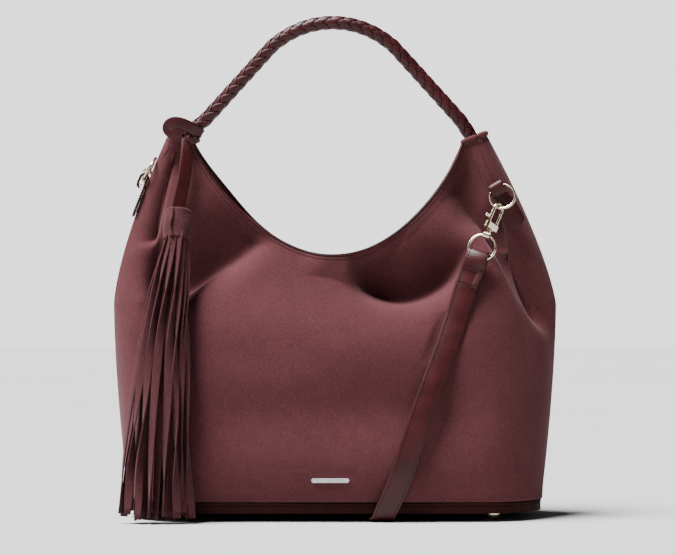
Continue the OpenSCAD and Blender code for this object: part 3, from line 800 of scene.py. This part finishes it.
front_points, front_normal = folded(PANEL_U, PANEL_V, 1)
back_points, back_normal = folded(PANEL_U, PANEL_V, -1)
make_panel("front_suede_panel", "front_panel", 1, front_points, front_normal)
make_panel("back_suede_panel", "back_panel", -1, back_points, back_normal)
make_binding("front_edge_binding", "front_binding", 1, front_points)
make_binding("back_edge_binding", "back_binding", -1, back_points)


# Lining, pocket and zip

LINING_U = np.linspace(-0.94, 0.94, 120)[:, None]
LINING_V = np.linspace(0.01, 0.94, 90)[None]
LINING_GAPS = {1: 2.4 * MM, -1: 1.2 * MM}
LINING_EASE = 1.3
POCKET_GAP = 2.6 * MM
POCKET_SLACK = 0.5 * MM
POCKET_U = 0.38
TAPE_IN = 2.2 * MM
TAPE_SLOT = 0.9 * MM
TOOTH_PITCH = 1.5 * MM
TEETH_INSET = 3 * MM
TOOTH = rounded(0.5 * MM, 0.6 * MM, 0.2 * MM)


def make_lining(name, node, side):
    """The lining hangs a little inside its panel and stops below the suede facing of the hem."""
    points = folded(LINING_U, LINING_V, side, depth=PANEL_T + LINING_GAPS[side], ease=LINING_EASE)[0]
    x, z = points[..., 0], points[..., 2]
    points[..., 1] += 0.2 * MM * (np.sin(90 * x + 30 * z) + np.sin(70 * z))
    pile = Pile()
    pile.grid((points if side < 0 else points[::-1]) * [1, side, 1])
    made = settle(pile.piece(name, [LINING]), "bag", "lining", node)
    width = max(line_length(row) for row in points.swapaxes(0, 1))


make_lining("front_cloth_lining", "front_lining", 1)
make_lining("back_cloth_lining", "back_lining", -1)


def make_floor_lining():
    """The lining of the bag's floor: loops of the base's rounded outline, drawn in to the middle."""
    low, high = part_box("base_lining")
    half_w, half_d = high.x, high.y
    outline = rounded(half_w, half_d, BASE_R - (BASE_W / 2 - half_w), 14)
    pile = Pile()
    rings = []
    for share in np.linspace(1, 0.02, 24):
        ring = outline * share
        z = low.z + 0.6 * MM + 0.25 * MM * (np.sin(80 * ring[:, 0]) + np.sin(110 * ring[:, 1] + 1))
        rings.append(np.column_stack([ring, z]))
    pile.grid(np.array(rings), wrap=True)
    made = settle(pile.piece("floor_cloth_lining", [LINING]), "bag", "lining", "base_lining")


make_floor_lining()


def level_row(u, z):
    """The share v up the panel at which it is z high, at u across."""
    top = top_edge(u)[..., 2]
    return (z - SEAM_Z) / (top - SEAM_Z)


def make_pocket():
    """The pocket's cloth over the back lining, sewn down on three sides."""
    low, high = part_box("inner_pocket")
    u = np.linspace(-POCKET_U, POCKET_U, 50)[:, None]
    z = np.linspace(low.z, high.z, 40)[None]
    points = folded(u, level_row(u, z), -1, depth=PANEL_T + POCKET_GAP, ease=LINING_EASE)[0] * [1, -1, 1]
    up = np.sin(math.pi * (z - low.z) / (high.z - low.z))
    points[..., 1] -= POCKET_SLACK * (1 + np.sin(60 * points[..., 0]) * up)
    pile = Pile()
    pile.grid(points)
    border = np.vstack([points[2, ::-1], points[2:-2, 2], points[-3]])
    pile.stitches(border - FACING * 0.2 * MM, -FACING)
    made = settle(pile.piece("zip_pocket", [LINING, THREAD]), "bag", "lining", "inner_pocket")


def make_zip():
    """Two tapes with a row of teeth between them."""
    low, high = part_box("zip_tape")
    middle = (low.z + high.z) / 2
    u = np.linspace(-POCKET_U, POCKET_U, 40)[:, None]
    pile = Pile()
    for z0, z1 in ((low.z, middle - TAPE_SLOT), (middle + TAPE_SLOT, high.z)):
        z = np.linspace(z0, z1, 5)[None]
        pile.grid(layer(u, level_row(u, z), PANEL_T + TAPE_IN) * [1, -1, 1])
    y = low.y + 0.7 * MM
    for i, x in enumerate(np.arange(low.x + TEETH_INSET, high.x - TEETH_INSET, TOOTH_PITCH)):
        z = middle + (0.5 if i % 2 else -0.5) * MM
        line = np.array([[x, y, z + step * MM] for step in (-1.5, -0.5, 0.5, 1.5)])
        pile.sweep(line, np.array([1.0, 0, 0]), TOOTH, kind=1)
    settle(pile.piece("pocket_zip", [TAPE, GOLD]), "bag", "zip_tape", "zip_tape")


make_pocket()
make_zip()


# Handle: eight strands plaited two over and two under, round a laid rope

BRAID_R = 4.75 * MM
BRAID_WEAVE = 0.65 * MM
STRAND_OVAL = oval(3.3 * MM, 0.95 * MM, 10)
BRAID_STEP = 1.4 * MM
PITCH = 44 * MM
ROPE_R = 1.7 * MM
ROPE_STEP = 1.5 * MM
ROPE_PITCH = 18 * MM
ARCH_R = 80 * MM
ARCH = (-2 * MM, 363.3 * MM)
ARCH_HALF_TURN = 47
# The handle's line inside and just above the left sleeve, and down into the right one
LEFT_END = [
    (-0.1415, 0, 0.325), (-0.136, 0, 0.336), (-0.129, 0, 0.345), (-0.121, 0, 0.353), (-0.1135, 0, 0.3595),
]
RIGHT_END = [
    (0.109, 0, 0.3598), (0.115, 0, 0.352), (0.121, 0, 0.343), (0.126, 0, 0.333), (0.131, 0, 0.320),
]
ARCH_KEYS = [
    (ARCH[0] + ARCH_R * math.sin(a), 0, ARCH[1] + ARCH_R * math.cos(a))
    for a in np.radians(np.linspace(-ARCH_HALF_TURN, ARCH_HALF_TURN, 13))
]


def round_line(line, angle):
    """The way out from each point of a line at its own angle round it."""
    up = np.cross(unit(np.gradient(line, axis=0)), FACING)
    return np.cos(angle)[:, None] * FACING + np.sin(angle)[:, None] * up


def make_handle():
    """The plaited leather, in one length with its ends inside the sleeves."""
    line = curve(LEFT_END + ARCH_KEYS + RIGHT_END, BRAID_STEP)
    along = np.concatenate([[0], np.cumsum(np.linalg.norm(np.diff(line, axis=0), axis=1))])
    phase = 2 * math.pi * along / PITCH
    pile = Pile()
    for way in (1, -1):
        for strand in range(4):
            over = way * np.cos(way * (math.pi * strand) + 2 * phase - way * math.pi / 4)
            radius = BRAID_R + BRAID_WEAVE * over
            radial = round_line(line, way * phase + strand * math.pi / 2)
            path = line + radius[:, None] * radial
            wide = np.cross(unit(np.gradient(path, axis=0)), radial)
            pile.sweep(path, wide, STRAND_OVAL)
    made = pile.piece("braided_handle", [LEATHER])
    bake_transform(made)
    settle(made, None, "smooth_leather", "handle_braid", "left_handle_end", "right_handle_end")


def make_rope():
    """Three laid strands."""
    line = curve(ARCH_KEYS, ROPE_STEP)
    phase = 2 * math.pi * np.arange(len(line)) * ROPE_STEP / ROPE_PITCH
    pile = Pile()
    for strand in range(3):
        radial = round_line(line, phase + strand * 2 * math.pi / 3)
        pile.sweep(line + ROPE_R * radial, FACING, oval(ROPE_R, ROPE_R, 8))
    settle(pile.piece("handle_rope", [ROPE]), "handle", "rope", "handle_core")


make_handle()
make_rope()


# Tabs: leather folded round a ring, with a round stitched tongue

TAB_W = 14 * MM
LEATHER_T = 1.8 * MM
TAB_GAP = 2.5 * MM
TAB_EDGE = 1.8 * MM
TAB_PITCH = 2.6 * MM
# The first of the tab's points that are stitched, and how much wider the tongue is than the fold
TONGUE_START = 18
TONGUE_GROWTH = 1.2 * MM


def make_tab(end, down, out, headroom, tongue, tuck):
    """The strip runs up from the short front flap, over the fold and down the tongue behind.

    headroom lifts the fold above the ring. tuck presses the tongue's end in, or lets it out if negative."""
    origin = np.array(JOINTS[f"{end}_ring_swing"]["pos_m"])
    down = unit(down)
    out = unit(out)
    reach = TAB_GAP + LEATHER_T / 2
    keys = [origin + 8 * MM * down + reach * 0.3 * out, origin + 5 * MM * down + reach * out]
    for angle in np.radians(range(0, 181, 30)):
        keys.append(origin - headroom * down + reach * (math.cos(angle) * out - math.sin(angle) * down))
    for share in (0.3, 0.6, 0.85, 1.0):
        keys.append(origin + share * tongue * down - (reach + tuck * share) * out)
    line = curve(keys, 1.2 * MM)
    wide = np.cross(down, out)
    left = np.linalg.norm(line - line[-1], axis=1)
    half = TAB_W / 2
    width = np.where(left < half, np.sqrt(np.maximum(0.02, 1 - ((half - left) / half) ** 2)), 1) * half
    grown = width + np.where(np.arange(len(line)) > len(line) * 0.55, TONGUE_GROWTH, 0)
    pile = Pile()
    pile.sweep(line, wide, ribbon(grown, LEATHER_T / 2))
    inset = np.maximum(0.3 * MM, grown[TONGUE_START:] - TAB_EDGE)[:, None]
    for edge in (-1, 1):
        row = line[TONGUE_START:] + edge * inset * wide + out * LEATHER_T / 2
        pile.stitches(row, out, TAB_PITCH, FINE_THREAD)
    middle = origin + 7 * MM * down + (reach + LEATHER_T / 2) * out
    across = middle + np.linspace(-1, 1, 5)[:, None] * wide * 5 * MM
    pile.stitches(across, out, TAB_PITCH, FINE_THREAD)
    settle(pile.piece(f"{end}_ring_tab", [LEATHER, THREAD]), "bag", "smooth_leather", f"{end}_tab")


right_axis = JOINTS["right_ring_swing"]["axis"]
make_tab(
    "right", down=(right_axis[2], 0, -right_axis[0]), out=(0, -1, 0),
    headroom=0, tongue=41 * MM, tuck=-1.5 * MM,
)
make_tab(
    "left", down=(-0.366, 0, -0.931), out=(-0.931, 0, 0.366), headroom=2.2 * MM, tongue=34 * MM, tuck=0
)


# Tassel: a band knotted round the sleeve, a strip, a rolled cap and cut strips of suede

KNOT = np.array(JOINTS["tassel_swing"]["pos_m"])
KNOT_CENTRE = middle_of("tassel_loop") + [-6.5 * MM, 0, 0]
KNOT_HALF_W = 15.5 * MM
KNOT_HALF_D = 13.5 * MM
KNOT_TILT = math.radians(16)
BAND_T = 0.9 * MM
BAND_EDGE = 0.5 * MM
# The lobe's line, in millimetres from the knot's centre
LOBE = [
    (15, -8.5, -6), (9.5, -14, -2), (1.5, -16.2, 2.4), (-5.5, -16.8, 4.6), (-10.5, -16.4, 4.4),
    (-13.6, -15.8, 1.8), (-13.8, -15.6, -1.6), (-11, -16, -4.2), (-6, -16.6, -5), (-1, -16.4, -6),
]
CAP_TOP = np.array([-0.1395, -0.0355, 0.2735])
CAP_DOWN = unit([0, -0.3, -0.95])
CAP_L = 27.5 * MM
CAP_R = 10 * MM
CAP_T = 1.2 * MM
CAP_TURN = (-1.1 * math.pi, 1.4 * math.pi)
STRIPS = 30
# The fringe's line: the middle (x, y, z) of its strips, and how far they spread along x and y
FRINGE = [
    (-0.1395, -0.0438, 0.247, 0.0085, 0.007), (-0.144, -0.057, 0.205, 0.015, 0.009),
    (-0.148, -0.070, 0.155, 0.020, 0.009), (-0.151, -0.078, 0.105, 0.024, 0.009),
    (-0.153, -0.081, 0.055, 0.028, 0.009), (-0.154, -0.082, 0.006, 0.031, 0.009),
]


def make_knot():
    """A band round the sleeve's top. Its end doubles back in a lobe at the left, and passes under itself."""
    turn = np.linspace(0, 2 * math.pi, 61)
    across = np.array([math.cos(KNOT_TILT), 0, -math.sin(KNOT_TILT)])
    axis = np.array([math.sin(KNOT_TILT), 0, math.cos(KNOT_TILT)])
    ring = KNOT_HALF_W * np.cos(turn)[:, None] * across + KNOT_HALF_D * np.sin(turn)[:, None] * [0, 1, 0]
    pile = Pile()
    pile.sweep(KNOT_CENTRE + ring, axis, rounded(4 * MM, BAND_T, BAND_EDGE))
    lobe = curve(KNOT_CENTRE + np.array(LOBE) * MM, 0.9 * MM)
    ahead = unit(np.gradient(lobe, axis=0))
    share = np.linspace(0, 1, len(lobe))
    half = 5.2 * MM - 1.6 * MM * np.clip((share - 0.75) / 0.25, 0, 1)
    pile.sweep(lobe, np.cross(ahead, FACING), ribbon(half, MM))
    below = curve([
        KNOT_CENTRE + [0.0135, -0.0095, -0.0100],
        KNOT_CENTRE + [0.0090, -0.0140, -0.0120],
        KNOT + [0.002, -0.001, -0.006],
    ], 1.2 * MM)
    pile.sweep(below, axis, rounded(2.6 * MM, BAND_T, BAND_EDGE))
    settle(pile.piece("tassel_knot", [LEATHER]), "bag", "smooth_leather", "tassel_loop")


def make_strip():
    """The flat strip from the knot down into the cap, wider and turned a little on its way."""
    line = curve([
        KNOT + [0, 0.003, -0.001],
        KNOT + [0.0005, -0.0005, -0.010],
        KNOT + [0.001, -0.004, -0.020],
        (KNOT + CAP_TOP) / 2 + [0.003, 0, -0.004],
        CAP_TOP,
        CAP_TOP + 8 * MM * CAP_DOWN,
    ], 2 * MM)
    share = np.linspace(0, 1, len(line))
    width = 2.6 * MM + 3.4 * MM * np.minimum(1, share * 2.5)
    twist = 0.5 * np.sin(share * math.pi)
    side = np.stack([np.cos(twist), np.sin(twist), 0 * twist], axis=1)
    pile = Pile()
    pile.sweep(line, side, ribbon(width, BAND_T))
    settle(pile.piece("tassel_hanging_strip", [LEATHER]), "tassel", "smooth_leather", "tassel_strip")


def make_cap():
    """Suede rolled once and a quarter round the heads of the strips, with its free edge in front."""
    first, last = CAP_TURN
    across = np.array([1.0, 0, 0])
    front = np.cross(across, CAP_DOWN)
    turn, down = np.meshgrid(np.linspace(first, last, 100), np.linspace(0, CAP_L, 16))
    roll = 0.8 * MM * (turn - first) / math.pi
    curl = MM * np.clip((turn - last) / 0.25 + 1, 0, 1) ** 2
    dents = 0.35 * MM * np.sin(turn * 3 + down * 160)
    waist = 0.5 * MM * np.cos(down / CAP_L * 2 * math.pi)
    radius = CAP_R + roll + curl + dents - waist
    way = turn + 0.08 * np.sin(down / CAP_L * 7)
    out = np.cos(way)[..., None] * across + np.sin(way)[..., None] * front
    points = CAP_TOP + down[..., None] * CAP_DOWN + radius[..., None] * out
    pile = Pile()
    pile.grid(points)
    lid = CAP_TOP + CAP_T * CAP_DOWN
    rings = [lid + share * (points[0] - points[0].mean(0)) for share in np.linspace(0.98, 0.05, 6)]
    pile.grid(np.array(rings))
    made = thicken(pile.piece("tassel_rolled_cap", [FRINGE_SUEDE]), CAP_T)
    made.modifiers["thickness"].offset = 0
    settle(made, "tassel", "suede", "tassel_cap")


def make_fringe():
    """Narrow strips cut from one sheet. They fan out as they hang, and some turn edge on."""
    keys = np.array(FRINGE)
    pile = Pile()
    for i in range(STRIPS):
        ring = 0.55 + 0.45 * (i % 2)
        angle = 2 * math.pi * (i + 0.5) / STRIPS
        cx = ring * math.cos(angle) * (1 + 0.06 * rng.standard_normal())
        cy = ring * math.sin(angle)
        jitter = np.cumsum(rng.standard_normal((6, 2)) * [0.6 * MM, 0.35 * MM], axis=0)
        points = np.stack([
            keys[:, 0] + cx * keys[:, 3] + jitter[:, 0],
            keys[:, 1] + cy * keys[:, 4] + jitter[:, 1],
            keys[:, 2],
        ], axis=1)
        points[0, 2] += 8 * MM
        points[-1, 2] += rng.uniform(-4, 5) * MM
        line = curve(points, 7 * MM)
        share = np.linspace(0, 1, len(line))
        start = angle + math.pi / 2 if ring > 0.9 else rng.uniform(-0.4, 0.4)
        end = rng.uniform(-1.1, 1.1)
        waves = rng.uniform(3, 7)
        twist = start * (1 - share) + end * share + 0.5 * np.sin(share * waves + i)
        side = np.stack([np.cos(twist), np.sin(twist), 0 * twist], axis=1)
        half = rng.uniform(2.9, 3.9) * MM
        pile.sweep(line, side, rounded(half, 0.65 * MM, 0.3 * MM))
    made = pile.piece("tassel_strips", [FRINGE_SUEDE])
    settle(made, "tassel", "suede", "tassel_fringe")


make_knot()
make_strip()
make_cap()
make_fringe()


# Springs: real coils in the hooks' bores

SPRING_L = 3.2 * MM
COIL_R = 1.25 * MM
COIL_TURNS = 4
WIRE_R = 0.22 * MM
WIRE_ROOM = 0.6 * MM


def make_spring(name, node, body, joint):
    """A coil of wire along its trigger's line of travel."""
    centre = middle_of(node)
    down = unit(JOINTS[joint]["axis"])
    side = unit(np.cross(down, FACING))
    other = np.cross(down, side)
    turn = np.linspace(0, COIL_TURNS * 2 * math.pi, 120)
    reach = (turn / turn[-1] - 0.5) * (SPRING_L - WIRE_ROOM)
    round_way = np.cos(turn)[:, None] * side + np.sin(turn)[:, None] * other
    pile = Pile()
    pile.sweep(centre + reach[:, None] * down + COIL_R * round_way, down, oval(WIRE_R, WIRE_R, 6))
    made = settle(pile.piece(name, [STEEL]), body, "steel", node)
    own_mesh(made)


for side in ("right", "left"):
    make_spring(f"{side}_hook_coil", f"{side}_spring", f"{side}_hook", f"{side}_trigger_slide")


# Carried-over CAD parts

EDGE_WEAR = 0.4 * MM
# The base panel and its piping take the leather darkened with painted shade
CAD_FINISHES = {
    "base_panel": SHADE_DARKENED_LEATHER, "base_piping": SHADE_DARKENED_LEATHER, "base_board": BOARD, "feet": GOLD,
    "badge": STEEL, "snap_socket": GOLD, "snap_stud": GOLD, "zip_slider": GOLD, "zip_pull": GOLD,
}
for side in ("right", "left"):
    for metal in ("ring", "swivel", "strap_ring", "hook", "trigger"):
        CAD_FINISHES[f"{side}_{metal}"] = GOLD
for node, finish in CAD_FINISHES.items():
    part = frame["nodes"][node]
    part.data.materials.clear()
    part.data.materials.append(finish)
for node in ("base_panel", "badge", "right_hook", "left_hook"):
    bevel = frame["nodes"][node].modifiers.new("worn_edges", "BEVEL")
    bevel.width = EDGE_WEAR
    bevel.segments = 3
    bevel.limit_method = "ANGLE"


# Floor and light

AMBIENT = 0.03
BACKDROP = 2.0
FLOOR_REACH = 6.0
LIGHT_TARGET = (0, 0, 0.2)


def make_floor():
    """One pale sheet under the bag."""
    ends = (-FLOOR_REACH, FLOOR_REACH)
    pile = Pile()
    pile.grid(np.array([[(x, y, 0) for y in ends] for x in ends]))
    paper = Finish("studio_floor", 0.9)
    paper.colour(paper.noise(2, 2), [(0.2, (0.46, 0.46, 0.46)), (0.8, (0.48, 0.48, 0.48))])
    pile.piece("studio_floor", [paper.material])


def area_light(name, place, size, power):
    """A soft box that looks at the bag."""
    data = bpy.data.lights.new(name, "AREA")
    data.shape = "RECTANGLE"
    data.size, data.size_y = size
    data.energy = power
    lamp = add_object(name, data)
    lamp.location = place
    aim = np.array(LIGHT_TARGET) - np.array(place)
    lamp.rotation_euler = (
        math.acos(-aim[2] / np.linalg.norm(aim)), 0, math.atan2(aim[1], aim[0]) - math.pi / 2,
    )


def make_world():
    """Dim light from all round, with a white backdrop behind the object in every view."""
    world = bpy.data.worlds.new("studio")
    bpy.context.scene.world = world
    world.use_nodes = True
    nodes, links = world.node_tree.nodes, world.node_tree.links
    background = nodes["Background"]
    fill(background, Color=(1, 1, 1, 1))
    seen = nodes.new("ShaderNodeLightPath").outputs["Is Camera Ray"]
    strength = nodes.new("ShaderNodeMapRange")
    fill(strength, To_Min=AMBIENT, To_Max=BACKDROP)
    links.new(seen, strength.inputs["Value"])
    links.new(strength.outputs["Result"], background.inputs["Strength"])


def sun(strength, spread, tilt):
    """Broad light from above that keeps the floor even out to the horizon."""
    data = bpy.data.lights.new("sky", "SUN")
    data.energy = strength
    data.angle = math.radians(spread)
    lamp = add_object("sky", data)
    lamp.rotation_euler = [math.radians(angle) for angle in tilt]


make_floor()
make_world()
sun(strength=13.5, spread=30, tilt=(9, -22, 0))
area_light("left", place=(-1.5, -0.7, 0.8), size=(0.5, 1.2), power=4)
area_light("right", place=(1.5, -0.3, 0.7), size=(0.5, 1.2), power=1.5)
